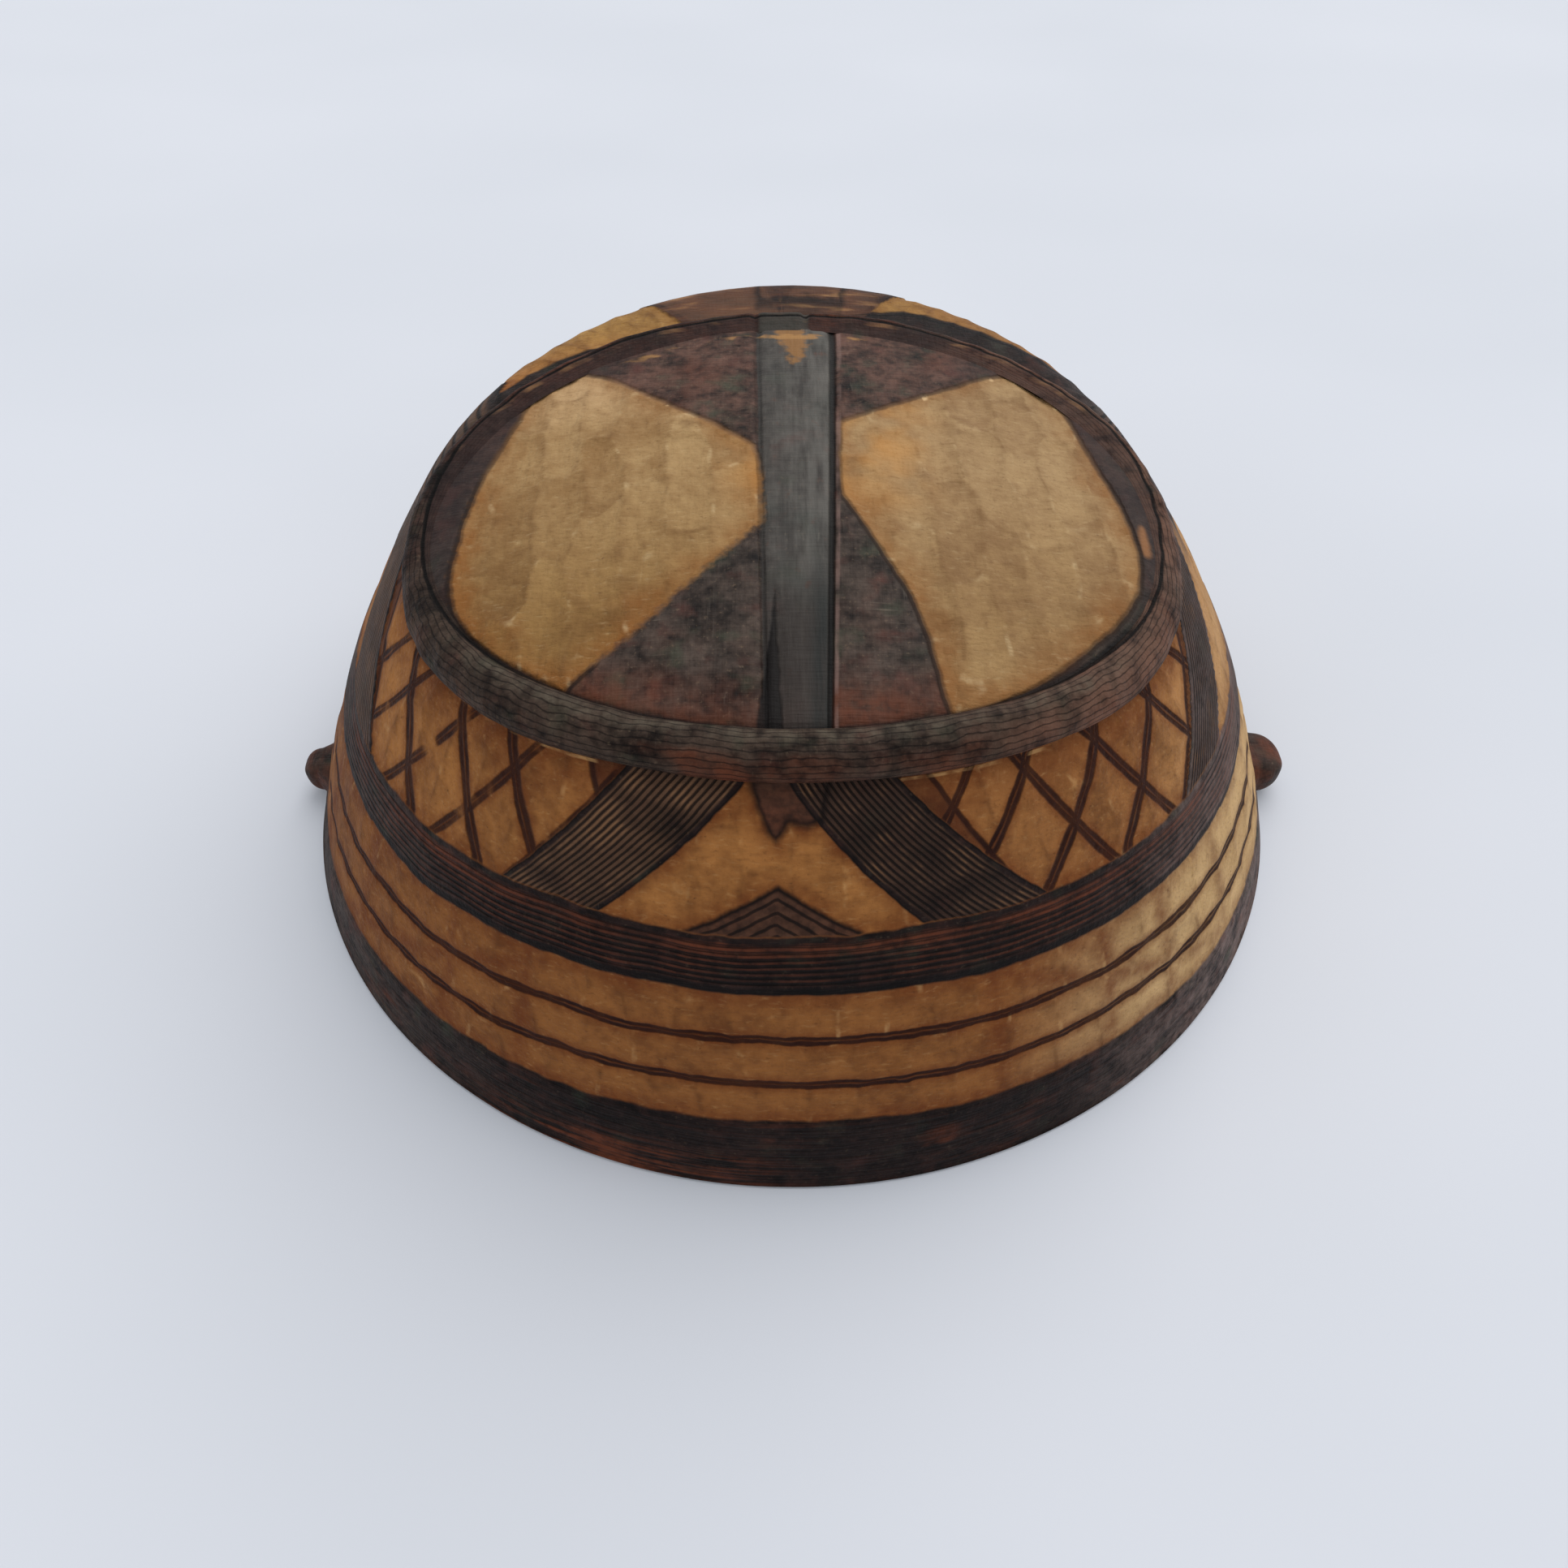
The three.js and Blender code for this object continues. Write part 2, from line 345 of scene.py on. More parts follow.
def inside_of(x, y, corners, rounds=0):
    """Distance in from the outline of a flat figure, minus outside it: the nearest of its sides, signed by
    how many sides a line to the right crosses. Each round first cuts the corners a quarter of the way in,
    except those that are given twice."""
    corners = np.array(corners, float)
    for _ in range(rounds):
        after = np.roll(corners, -1, 0)
        corners = np.stack([0.75 * corners + 0.25 * after, 0.25 * corners + 0.75 * after], 1).reshape(-1, 2)
    nearest_side = np.full(x.shape, 1e9)
    odd = np.zeros(x.shape, bool)
    after = np.roll(corners, -1, 0)
    apart = np.abs(after - corners).sum(-1) > 1e-9
    for (ax, ay), (bx, by) in zip(corners[apart], after[apart]):
        dx, dy = bx - ax, by - ay
        share = np.clip(((x - ax) * dx + (y - ay) * dy) / (dx * dx + dy * dy), 0, 1)
        nearest_side = np.minimum(nearest_side, np.hypot(x - ax - share * dx, y - ay - share * dy))
        odd ^= ((ay > y) != (by > y)) & (x < ax + (y - ay) * dx / (dy if dy else 1e-9))
    return np.where(odd, nearest_side, -nearest_side)


def outward(points):
    """Unit normals of a grid whose rows run down the bowl and whose columns go round it."""
    round_it = np.roll(points, -1, 0) - np.roll(points, 1, 0)
    down_it = np.gradient(points, axis=1)
    normal = np.cross(down_it, round_it)
    return normal / np.maximum(np.linalg.norm(normal, axis=-1), 1e-9)[..., None]


def closed_round(name, points, carried, tip=None):
    """A mesh over a grid that closes on itself round the bowl, with the numbers it carries at its points.
    With a tip, the last row is closed by triangles that meet in that point."""
    turns, rows = points.shape[:2]
    index = np.arange(turns * rows).reshape(turns, rows)
    after = np.roll(index, -1, 0)
    quads = np.stack([index[:, :-1], index[:, 1:], after[:, 1:], after[:, :-1]], -1).reshape(-1, 4)
    corners, starts = quads.ravel(), np.arange(0, quads.size, 4)
    places = points.reshape(-1, 3)
    if tip is not None:
        fan = np.stack([index[:, -1], np.full(turns, turns * rows), after[:, -1]], -1)
        starts = np.concatenate([starts, quads.size + np.arange(0, fan.size, 3)])
        corners = np.concatenate([corners, fan.ravel()])
        places = np.vstack([places, tip])
        carried = {key: np.append(value.ravel(), value[:, -1].mean()) for key, value in carried.items()}
    mesh = bpy.data.meshes.new(name)
    mesh.vertices.add(len(places))
    mesh.vertices.foreach_set("co", ((places + CENTRE) * 0.001).ravel())
    mesh.loops.add(len(corners))
    mesh.loops.foreach_set("vertex_index", corners.astype(np.int32))
    mesh.polygons.add(len(starts))
    mesh.polygons.foreach_set("loop_start", starts.astype(np.int32))
    mesh.polygons.foreach_set("use_smooth", np.ones(len(starts), bool))
    mesh.update(calc_edges=True)
    mesh.validate()
    for key, value in carried.items():
        mesh.attributes.new(key, "FLOAT", "POINT").data.foreach_set("value", value.ravel().astype(np.float32))
    made = bpy.data.objects.new(name, mesh)
    bpy.context.collection.objects.link(made)
    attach(made, "root")
    return made


TURNS = 960
WALL_ROWS = 92
EDGE_ROWS = 5
theta = np.linspace(-np.pi, np.pi, TURNS, endpoint=False)[:, None]
tried = turned_points(theta, OUT_RHO[None, ::3], OUT_Z[None, ::3])
tried_x, tried_y = tried[..., 0], tried[..., 1]
past_ring = from_ring(tried_x, tried_y) > ring_half_width(tried_x, tried_y) - UNDER_RING
start_length = OUT_LENGTH[::3][np.argmax(past_ring, axis=1)][:, None]
wall_length = start_length + (OUT_LENGTH[-1] - start_length) * np.linspace(0, 1, WALL_ROWS)[None]
wall_rho, wall_z = np.interp(wall_length, OUT_LENGTH, OUT_RHO), np.interp(wall_length, OUT_LENGTH, OUT_Z)
turn = np.linspace(0, np.pi / 2, EDGE_ROWS)[None]
edge_rho = HALF_LENGTH - EDGE_IN - EDGE_RADIUS * (1 - np.cos(turn)) + 0 * theta
edge_z = EDGE_RADIUS * (1 - np.sin(turn)) + 0 * theta
wall_rho = np.hstack([wall_rho[:, :-1], edge_rho, LAND_SPLIT + 0 * theta])
wall_z = np.hstack([wall_z[:, :-1], edge_z, 0 * theta])
wall = turned_points(theta, wall_rho, wall_z)

# Degrees round the bowl, with the front at -90. Behind, each angle takes the ornament of one in front, so
# the same bars come round there, mirrored and stretched to fit.
angle = np.degrees(theta) + 0 * wall_z
mirrored = np.interp(angle, [0, 22, 67.5, 119.5, 151, 180], [0, -13, -77.6, -110.7, -173.8, -180])
front = np.where(angle <= 0, angle, mirrored)
unsteady = waver(wall, 60, 3)
level = wall_z + DIP_AT_ENDS * np.cos(theta) ** 2 + 0.35 * unsteady + 0.25 * waver(wall, 22, 4)


def across_bar(foot, head):
    """Place across a leaning bar, -1 to 1 from edge to edge. Foot and head are each its height, its middle
    and its half width, the last two in degrees round the bowl."""
    rise = np.clip((wall_z - foot[0]) / (head[0] - foot[0]), -0.5, 1.5)
    middle = foot[1] + (head[1] - foot[1]) * rise
    return (front - middle) / (foot[2] + (head[2] - foot[2]) * rise)


bars = np.stack([
    across_bar((60.5, -118, 6), (85.5, -104.5, 7.5)),
    across_bar((62, -69, 7), (87, -84, 7)),
    across_bar((57, -28, 7), (85, -6, 9)),
    across_bar((57, -163, 8), (85, -180, 8)),
])
BAR_HALF_WIDTHS = np.array([11, 12, 13, 13])
nearest = np.argmin(np.abs(bars), axis=0)[None]
bar = np.take_along_axis(bars, nearest, 0)[0]
bar_edge = np.max((1 - np.abs(bars)) * BAR_HALF_WIDTHS[:, None, None], axis=0)

# Between the two front bars a burnt patch hangs from the ring, and a triangle stands on the band.
MOTIF_ANGLE = -92.0
MOTIF_MM_PER_DEGREE = 1.4
hanging = inside_of(front * MOTIF_MM_PER_DEGREE, wall_z, [
    (-136, 92), (-133.5, 84.5), (-131, 79.8), (-129.1, 77.4), (-127, 80.6), (-124, 80.2), (-121, 81),
    (-118, 92)])
standing = (70.5 - wall_z) - np.abs(front - MOTIF_ANGLE) * 0.95
motif = np.maximum(hanging, standing)

# The crossed lines lean with height. Each array counts along one set of them, so a whole number is a line,
# and its table gives the angles of the lines at the height CROSSED_FROM.
CROSSED_FROM = 57.0
up_wall = wall_z - CROSSED_FROM
left_a = np.interp(front + 0.44 * up_wall, [-156, -142, -128, -118, -104], range(5))
left_b = np.interp(front - 0.46 * up_wall, [-178, -165.6, -157.8, -147.5, -136.5, -125], range(6))
right_a = np.interp(front - 0.65 * up_wall, [-96, -85, -75.5, -62.2, -48.7, -35], range(6))
right_b = np.interp(front + 0.38 * up_wall, [-62, -50, -39.3, -27.7, -18.3, -6], range(6))
is_left = front < MOTIF_ANGLE
between_left = np.minimum(bars[3] - 1, -1 - bars[0]) * BAR_HALF_WIDTHS[0]
between_right = np.minimum(bars[1] - 1, -1 - bars[2]) * BAR_HALF_WIDTHS[0]
plain_back = np.where(angle > 0, -9.0, 9.0)

lane = np.digitize(level, [*LINES, BAND_FOOT])
lane_scoops = [
    scooped(np.degrees(theta) * MM_PER_DEGREE + unsteady, level, width, length, ROUND_THE_WALL, reach, seed)
    for width, length, reach, seed in (
        (10.1, 30, (16, 34), 5), (10.7, 30, (26, 46), 6), (10.2, 30, (36, 56), 7), (11.4, 22, (58, 96), 8))]
facets, crest, scoop_tone = (np.choose(lane, numbers) for numbers in zip(*lane_scoops))
top_edge = from_ring(wall[..., 0], wall[..., 1]) - ring_half_width(wall[..., 0], wall[..., 1])

pale = (level > RIM_BAND + 0.5) & (level < BAND_FOOT - 0.5)
pale |= (level > BAND_HEAD) & (np.abs(bar) > 1) & (motif < 0)
sunk = np.where(pale, 0.5, 0.10) * facets + 0.09 * (1 - waver(wall, 35, 6)) + 0.03
for line in LINES:
    sunk += groove_at(level - line, 0.25, 1.3)
sunk += groove_at(level - RIM_BAND, 0.35, 0.9) + groove_at(level - BAND_FOOT, 0.3, 0.9)
sunk += groove_at(top_edge - 0.4, 0.45, 0.8)
sunk[:, -EDGE_ROWS - 1:] *= 0.2
wall = wall - outward(wall) * sunk[..., None]
wall[:, -2:, 2] = 0

carved_wall = closed_round("carved_wall", wall, {
    "level": level, "bar": bar, "bar_edge": bar_edge, "hanging": hanging, "standing": standing,
    "top_edge": top_edge, "facets": facets, "crest": crest, "scoop_tone": scoop_tone,
    "lines_a": np.where(is_left, left_a, right_a), "lines_b": np.where(is_left, left_b, right_b),
    "crossed": np.minimum(np.where(is_left, between_left, between_right), plain_back),
})
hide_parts("bowl_shell")


def gouged_wood(finish, facet, crest, scoop_tone, scorch, tones):
    """Pale wood of the cut places: grain along the block's length, chatter of the gouge across it, each scoop
    a shade of its own, lighter broken crests between the scoops, and a scorch that fades away from the
    burning. The tones are the clear wood, the darker wood, the grain, the flecks, the crests and the scorch.
    Returns colour and relief."""
    clear_tone, darker_tone, grain_tone, fleck_tone, crest_tone, scorch_tone = tones
    grain = finish.grown((2.4, 0.8, 0.7), 5.0)
    chatter = finish.grown((1.1, 5, 4), 4.0, 6.1)
    blotch = finish.grown((12, 16, 12), 4.0, 3.1)
    mottle = finish.grown((2.4, 2.8, 2.4), 4.0, 15.7)
    fleck = finish.grown((1.3, 0.8, 0.8), 3.0, 7.7)
    broken = finish.grown((5, 5, 5), 3.0, 12.1)
    pore = finish.grown((0.7, 0.7, 0.7), 2.0, 25.3)
    shade = blotch * 0.65 + mottle * 0.55 + (scoop_tone - 0.5) * 1.1
    colour = finish.layered(finish.mixed(shade.rise(-0.8, 0.8), clear_tone, darker_tone), (
        ((scorch & 1.0) * (mottle.rise(-1.0, 0.8) * 0.4 + 0.6), scorch_tone),
        (grain.rise(0.1, 1.0) * 0.5, grain_tone),
        (grain.rise(-0.1, -1.0) * 0.3, crest_tone),
        (pore.rise(0.2, 0.9) * 0.45, grain_tone),
        (chatter.rise(0.1, 1.0) * blotch.rise(-0.6, 0.6) * 0.5, grain_tone),
        (chatter.rise(-0.3, -1.1) * blotch.rise(0.4, -0.6) * 0.35, crest_tone),
        (facet.rise(0.8, 0.4) * 0.3 * broken.rise(0.4, -0.6), grain_tone),
        (crest.rise(0.3, 0.04) * broken.rise(0.1, -0.5) * 0.38, grain_tone),
        (crest.rise(0.3, 0.03) * broken.rise(0.1, 0.7) * 0.5, crest_tone),
        (fleck.rise(0.35, 0.9) * 0.6, fleck_tone)))
    return colour, grain * 0.09 + chatter * 0.11 + mottle * 0.09 + fleck * 0.09


SOOT = painted(10, 7, 7)


def burnt_wood(finish, light, rubbed, brown):
    """Wood burnt with the iron. It is near black, with clouds of the light tone, grey-green where rubbed,
    which is partly worn grey and partly painted sheen, rubbed dull grey along fine scratches, red-brown where
    it wore through, and has a few pale nicks. Returns colour and relief."""
    scratch = finish.grown((8, 0.6, 0.6), 4.0, 1.7)
    scrape = finish.grown((0.6, 7, 2.5), 4.0, 4.9)
    cloud = finish.grown((9, 9, 6), 4.0, 5.3)
    speck = finish.grown((2.2, 2.2, 1.4), 4.0, 18.1)
    nick = finish.grown((1.6, 1.0, 1.0), 2.0, 8.3)
    hue = finish.grown((7, 7, 7), 4.0, 21.7)
    grit = finish.grown((0.8, 0.8, 0.8), 2.0, 31.3)
    clouded = finish.mixed((cloud * 0.7 + speck * 0.7).rise(-0.8, 0.9), painted(14, 9, 9), light)
    colour = finish.layered(clouded, (
        # The grey-green layer is partly worn grey and partly painted sheen.
        (hue.rise(0.1, 0.8) * rubbed * 1.3, painted(64, 70, 56)),
        (hue.rise(-0.1, -0.8) * rubbed * 1.3, painted(96, 58, 50)),
        (grit.rise(0.1, 0.9) * 0.5, painted(16, 11, 11)),
        (grit.rise(-0.2, -1.0) * rubbed * 0.9, painted(126, 106, 86)),
        (scratch.rise(0.3, 1.0) * cloud.rise(-0.4, 0.3) * rubbed, painted(124, 112, 98)),
        (scrape.rise(0.3, 1.0) * cloud.rise(0.2, -0.5) * rubbed, painted(110, 100, 90)),
        (((brown | 0.0) & 1.0) * speck.rise(-1.1, 0.3), painted(104, 54, 34)),
        (nick.rise(0.95, 1.2) * 0.5, painted(150, 128, 106))))
    return colour, (scratch + scrape) * 0.08 + speck * 0.06 - nick.rise(0.8, 1.2) * 0.1


# Where the wall is dark: the bands, the bars, the motif, and beside the ring from the two sides on back.
w = Finish("carved_wall")
shake = w.grown((5, 5, 5), 3.0, 9.1) * 0.45
ragged = w.grown((7, 7, 7), 3.0, 3.9)
to_right = w.along(0)
to_back = w.along(1)
high = w.measured("level") + shake
field = high.rise(BAND_HEAD - 0.8, BAND_HEAD)
bar_place = w.measured("bar")
bar_in = w.measured("bar_edge") + shake
bar_dark = bar_in.rise(-0.3, 0.4) * field
hanging_in = w.measured("hanging") + shake * 1.6
standing_in = w.measured("standing") + shake
motif_in = hanging_in | standing_in
motif_dark = (hanging_in.rise(-1.0, 0.9) | standing_in.rise(-0.6, 0.5)) * field
rim_dark = high.rise(RIM_BAND + 0.4, RIM_BAND - 0.5)
band_dark = high.rise(BAND_FOOT - 0.4, BAND_FOOT + 0.3) * high.rise(BAND_HEAD, BAND_HEAD - 0.7)
top_out = w.measured("top_edge") + shake * 0.5
foot_reach = to_right.rise(5, 30) * 8 + to_right.rise(-40, -60) * 3 - top_out
foot_dark = (foot_reach + ragged * 0.8).rise(-3.0, -1.6) * to_back.rise(-12, 8)
foot_cut = abs(foot_reach + 0.4).rise(0.7, 0.2) * to_right.rise(8, 20) * foot_dark
dark = rim_dark | band_dark | bar_dark | motif_dark | foot_dark

# The knife's lines: a pale hairline under the ring, the crossed lines, and the two that run round.
hairline = abs(w.measured("top_edge") - 0.35).rise(0.28, 0.12) * to_back.rise(-5, -25)
hairline = hairline * ragged.rise(-0.1, 0.4) * (1 - bar_dark)
crossed = w.measured("crossed").rise(-1.5, 0.5) * field
unbroken = (w.grown((7, 7, 7), 3.0, 13.3) + to_right.rise(-10, 20) * 1.5).rise(-0.6, 0.1)
thick = w.grown((6, 6, 6), 3.0, 6.9) * 0.3
near_a = w.measured("lines_a").from_nearest_whole() * 13
near_b = w.measured("lines_b").from_nearest_whole() * 12
stroke_a = abs(near_a - 0.55 - thick).rise(0.7, 0.25)
stroke_b = abs(near_b - 0.5 - thick).rise(0.6, 0.2) * unbroken
crossing = (stroke_a | stroke_b) * crossed * (0.8 + thick)
crossing_stain = (near_a.rise(2.9, 0.6) | near_b.rise(2.6, 0.6) * unbroken) * crossed
scored_out = abs(high - LINES[0]) & abs(high - LINES[1])
scored = abs(scored_out - 0.5 - thick).rise(0.6, 0.2) * (0.8 + thick)
scored_stain = scored_out.rise(3.2, 0.6)
filled = crossed * (near_a.rise(1.0, 0.6) | near_b.rise(1.0, 0.6) * unbroken) | scored_out.rise(1.1, 0.7)

# The pale wood: darker below the band, with painted shade right of the middle, painted light at the lit right
# side, and scorched beside all that is burnt.
out_of_band = (high - BAND_HEAD + 0.5) | (BAND_FOOT - high)
near_burning = out_of_band & abs(high - RIM_BAND) & abs(bar_in) & abs(motif_in) & (top_out - 1)
blush = (near_burning + w.grown((8, 8, 8), 4.0, 2.2) * 2.4).rise(5.5, -1.0) * 0.85
blush = (blush | crossing_stain * 0.75 | scored_stain * 0.75) * (1 - to_right.rise(60, 110) * 0.5)
blush = blush * (1 - to_back.rise(30, 60) * 0.6)
below_band = high.rise(BAND_FOOT + 6, BAND_FOOT)
behind_it = to_back.rise(30, 60)
# Painted shade on the pale wood above the band, right of the middle.
painted_shade_mid_right = to_right.rise(18, 38) * to_right.rise(78, 58) * (1 - below_band) * 0.6
# Painted light: the pale wood lighter and paler towards the lit right side.
lit_side = (to_right + below_band * 22).rise(58, 104) * (0.65 + below_band * 0.35)
clear = w.layered(w.mixed(below_band, painted(174, 116, 62), painted(150, 96, 50)), (
    (behind_it, painted(174, 132, 74)),
    (painted_shade_mid_right, painted(148, 97, 55)),
    (lit_side, painted(208, 170, 120))))
darker = w.layered(w.mixed(below_band, painted(120, 74, 38), painted(98, 56, 29)), (
    (behind_it, painted(126, 88, 46)),
    (painted_shade_mid_right, painted(98, 61, 34)),
    (lit_side, painted(184, 146, 98))))
pale_wood, pale_relief = gouged_wood(
    w, w.measured("facets"), w.measured("crest"), w.measured("scoop_tone") * 0.4 + 0.1, blush,
    (clear, darker, painted(92, 54, 27), painted(62, 34, 20), painted(212, 168, 112), painted(108, 54, 24)))

# The burnt wood: grooves along the band, ribs along the bars but not far back, chevrons in the triangle,
# and ridges that are worn brown.
streak = w.grown((26, 26, 0.9), 4.0, 4.4)
patch = w.grown((16, 16, 6), 4.0, 8.8)
fine = w.grown((6, 6, 0.55), 4.0, 19.9)
groove_step = 1.25
groove = ((w.measured("level") + patch * 0.35 - BAND_FOOT) / groove_step).from_nearest_whole()
grooved = high.rise(BAND_FOOT + 1.6, BAND_FOOT + 2.6) * high.rise(BAND_HEAD - 1.4, BAND_HEAD - 2) * band_dark
ribbing = (bar_place * 7.6 + patch * 0.25).from_nearest_whole()
ribbed = abs(bar_place).rise(0.9, 0.82) * bar_dark
not_far_back = to_back.rise(56, 40)
chevron = (standing_in / 2.2).from_nearest_whole().rise(0.22, 0.08) * standing_in.rise(0.6, 1.2)
motif_ground = motif_dark * (1 - bar_dark) * motif_in.rise(-0.3, 1.0)
rim_worn = high.rise(13, 6) * to_right.rise(-78, -50) * to_right.rise(5, -22) * to_back.rise(0, -20)
band_crest = groove.rise(0.2, 0.45) * 0.6 + high.rise(BAND_HEAD - 4.8, BAND_HEAD - 3.4) * 0.5
ridge = grooved * band_crest * patch.rise(-0.8, 0.6)
ridge = ridge | band_dark * patch.rise(0.1, 0.9) * to_right.rise(60, 20) * to_right.rise(-70, -20) * 0.6
ridge = ridge | motif_ground * (patch.rise(-0.4, 0.6) * 0.5 + 0.2)
ridge = ridge | rim_dark * streak.rise(0.0, 0.9) * patch.rise(-0.5, 0.7) * 0.7
ridge = ridge | rim_dark * patch.rise(0.2, 0.9) * 0.8
ridge = ridge | rim_worn * (streak + patch * 0.7).rise(-0.4, 0.4)

bar_ground = ribbed * (patch + shake).rise(-1.2, 0.5) * 0.75
bar_tone = w.mixed(to_right.rise(-14, 6), painted(108, 78, 58), painted(74, 53, 42))
ribs = ribbed * ribbing.rise(0.3, 0.46) * (patch + shake * 3).rise(-0.1, 1.0) * to_back.rise(60, 20)
rib_lines = (ribbed * ribbing.rise(0.22, 0.06) | bar_dark * bar_in.rise(0.9, 0.3)) * not_far_back | foot_cut
worn_round = w.grown((16, 5, 1.6), 4.0, 29.7)
worn_back = to_back.rise(36, 52) * bar_dark * abs(to_right + 8).rise(34, 20)
motif_rim = (abs(hanging_in - 0.2) * 0.7 & abs(standing_in - 0.3)).rise(0.9, 0.2) * motif_dark
cuts_in = rib_lines * 0.85 | chevron * motif_ground * 0.8 | motif_rim * 0.85
cuts_in = cuts_in | grooved * groove.rise(0.17, 0.05) * (patch + fine * 0.6).rise(0.4, -0.45) * 0.9
cuts_in = cuts_in | band_dark * high.rise(BAND_FOOT + 1.9, BAND_FOOT + 1.2) * 0.75

at_sides = abs(to_right).rise(45, 115)
char_tone = w.mixed(at_sides, painted(44, 30, 27), painted(88, 74, 68))
# Painted light: the burnt wood lighter towards the lit right side.
char_tone = w.mixed(to_right.rise(50, 100), char_tone, painted(128, 108, 102))
char, char_relief = burnt_wood(w, char_tone, 0.25 + at_sides * 0.35, ridge)
char = w.layered(char, (
    # The first layer is painted light on the band's lit right side.
    (band_dark * to_right.rise(60, 105) * patch.rise(-1.0, 0.6) * 0.5, painted(116, 92, 84)),
    (motif_ground * (0.45 - hanging_in.rise(-1, 1) * 0.15), painted(108, 74, 56)),
    (bar_ground, bar_tone),
    (worn_back * worn_round.rise(-0.6, 0.4) * 0.75, painted(108, 68, 47)),
    (worn_back * worn_round.rise(0.1, 0.6) * 0.75, painted(182, 136, 88)),
    (worn_back * worn_round.rise(-0.3, -0.9) * 0.7, painted(26, 17, 15)),
    (ribs * 0.5, painted(150, 108, 72)),
    (motif_ground * w.grown((2, 2, 2), 4.0, 23.9).rise(-0.5, 0.6) * 0.7, painted(36, 23, 19)),
    (cuts_in, SOOT),
    (rim_dark * streak.rise(0.0, -0.8) * 0.6, SOOT)))
colour = w.layered(w.mixed(dark, pale_wood, char), (
    (filled * (1 - dark) * 0.6, painted(70, 32, 20)),
    ((crossing | scored * (1 - rim_dark)) * (1 - dark), painted(34, 14, 12)),
    (hairline * 0.7, painted(196, 150, 98))))
relief = pale_relief * (1 - dark) + char_relief * dark
relief = relief - (crossing | scored) * (1 - dark) * 0.3
relief = relief - grooved * groove.rise(0.3, 0.05) * 0.5
relief = relief - ribbed * ribbing.rise(0.28, 0.05) * not_far_back * 0.5
relief = relief + rim_dark * streak * 0.3 + hairline * 0.1
gloss = 0.64 - dark * 0.06 + w.grown((6, 6, 6), 2.0, 6.2) * 0.06
carved_wall.data.materials.append(w.close(colour, gloss, relief, 0.08))

# The flattened base inside the ring: two pale gouged panels, and between them a burnt hourglass crossed
# from front to back by a dark strip with an incised line along each edge.
BASE_Y = -10.0
STRIP_HALF = 6.5
PANEL_SCOOP = 8.5
BASE_ROWS = 110
RING_TURNS = 720
ring_turn = np.linspace(-np.pi, np.pi, RING_TURNS, endpoint=False)[:, None]
ring_x = RING_HALF * np.cos(ring_turn)
ring_y = RING_Y + ring_depth(np.sin(ring_turn)) * np.sin(ring_turn)
inset = 1 - (ring_half_width(ring_x, ring_y) - UNDER_RING) / np.hypot(ring_x, ring_y - RING_Y)
shares = np.linspace(1, 0, BASE_ROWS)[None, :-1]
base_x = ring_x * inset * shares
base_y = BASE_Y + (RING_Y + (ring_y - RING_Y) * inset - BASE_Y) * shares
base = np.stack([base_x, base_y, height_over(base_x, base_y)], -1)

drift = waver(base, 30, 11)
left_panel = inside_of(base_x + 0.5 * drift, base_y, [
    (-6, -19.5), (-6, -19.5), (-15, -31), (-26, -43), (-39.5, -58.5), (-39.5, -58.5), (-57, -47), (-65, -35),
    (-65.5, -22), (-63, -1), (-59, 18), (-55, 35), (-55, 35), (-45, 36.5), (-25, 18.5), (-8, 3.5), (-8, 3.5),
    (-6, -4)], 2)
right_panel = inside_of(base_x + 0.5 * drift, base_y, [
    (9.5, -12), (9.5, -12), (18, -32), (23, -46), (27.5, -64.5), (27.5, -64.5), (36, -61), (52, -49),
    (62, -38), (67.5, -25), (65.5, -8), (61.5, 7), (57, 28), (53, 36), (53, 36), (46, 36), (26, 22),
    (9.5, 11.5), (9.5, 11.5), (9, 0)], 2)
panel = np.maximum(left_panel, right_panel)
strip_left = np.interp(base_y, [-65, 45], [-5, -8])
strip_right = np.interp(base_y, [-65, 45], [6, 9])
strip = (2 * base_x - strip_left - strip_right) / (strip_right - strip_left)
wedge = inside_of(base_x, base_y, [(-3.6, -38), (-7.6, -76), (-1.6, -76)])
worn_patch = inside_of(base_x + 0.8 * drift, base_y, [
    (-4.5, 55), (-4, 47), (-1.5, 43), (-1, 37), (1, 34), (2.5, 42), (3, 50), (1.5, 55)])
bare_patch = inside_of(base_x, base_y, [
    (67.4, -22), (69.4, -21), (69.6, -16), (68.8, -12.5), (67.2, -15)], 2)
base_facets, base_crest, base_tone = scooped(
    base_x + drift + 0.5 * waver(base, 9, 13) + 0.06 * base_y, base_y + waver(base, 8, 14),
    PANEL_SCOOP, 26, 19 * PANEL_SCOOP, (-80, 60), 21)
inner_edge = -from_ring(base_x, base_y) - ring_half_width(base_x, base_y)
cut = 0.8 * base_facets * np.clip(panel / 2, 0, 1) + 0.06 * (1 + waver(base, 26, 12))
cut += groove_at((np.abs(strip) - 1) * STRIP_HALF, 0.45, 0.8)
cut += groove_at(panel, 0.25, 0.9)
cut += groove_at(wedge, 0.3, 1.0)
cut += groove_at(inner_edge - 0.5, np.interp(base_y, [-52, -24], [0.5, 0.03]), 0.9)
base[..., 2] -= cut
tip_z = float(height_over(np.array(0.0), np.array(BASE_Y))) - 0.1

# The grid's rows run in from the ring to the middle, so it goes the other way round for its faces to point
# outwards.
base_numbers = {
    "panel": panel, "strip": strip, "wedge": wedge, "worn_patch": worn_patch, "bare_patch": bare_patch,
    "inner_edge": inner_edge, "base_facets": base_facets, "base_crest": base_crest, "base_tone": base_tone}
base_panel = closed_round(
    "base_panel", base[::-1], {key: value[::-1] for key, value in base_numbers.items()},
    (0.0, BASE_Y, tip_z))
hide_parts("bowl_shell")
